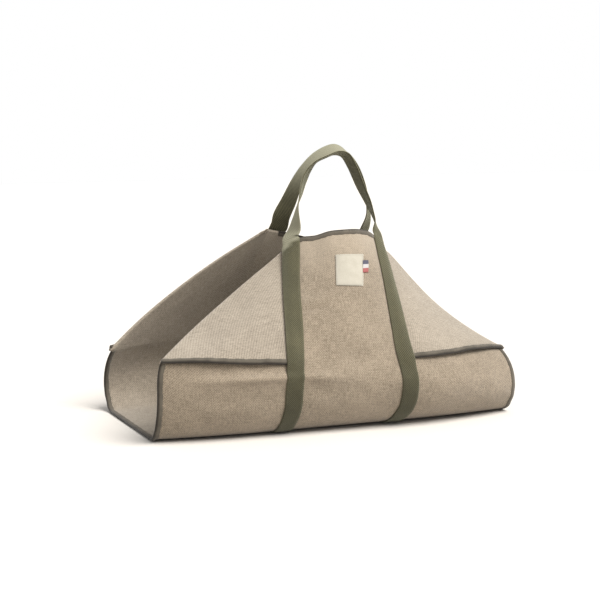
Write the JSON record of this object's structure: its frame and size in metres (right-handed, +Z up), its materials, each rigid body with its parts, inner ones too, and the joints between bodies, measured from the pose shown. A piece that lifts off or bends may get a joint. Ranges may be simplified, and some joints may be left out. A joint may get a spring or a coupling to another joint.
{
  "type": "log carrier",
  "caption": "Open-ended canvas log carrier standing as a U, with corners folded out under sewn webbing straps, loop handles above the hems, taped edges and a bare patch.",
  "frame": {"origin": "middle of the part's box in plan, at the level of the surface it stands on", "axes": "+X along the carrier from its left end to its right end, -Y to the front with the patch, +Z up"},
  "size_m": [0.6542, 0.4002, 0.4679],
  "materials": {
    "canvas": "coarse natural canvas, matte",
    "webbing": "olive cotton webbing, matte",
    "tape": "dark woven edge tape",
    "patch": "cream cotton, matte",
    "ribbon": "striped woven ribbon"
  },
  "bodies": {
    "root": {"canvas_body": "canvas", "tape_left": "tape", "tape_right": "tape", "tape_front_left": "tape", "tape_front_right": "tape", "tape_back_left": "tape", "tape_back_right": "tape", "tape_front_top": "tape", "tape_back_top": "tape", "strap_left": "webbing", "strap_right": "webbing", "handle_front": "webbing", "handle_back": "webbing", "patch": "patch", "ribbon_tab": "ribbon"}
  },
  "joints": []
}
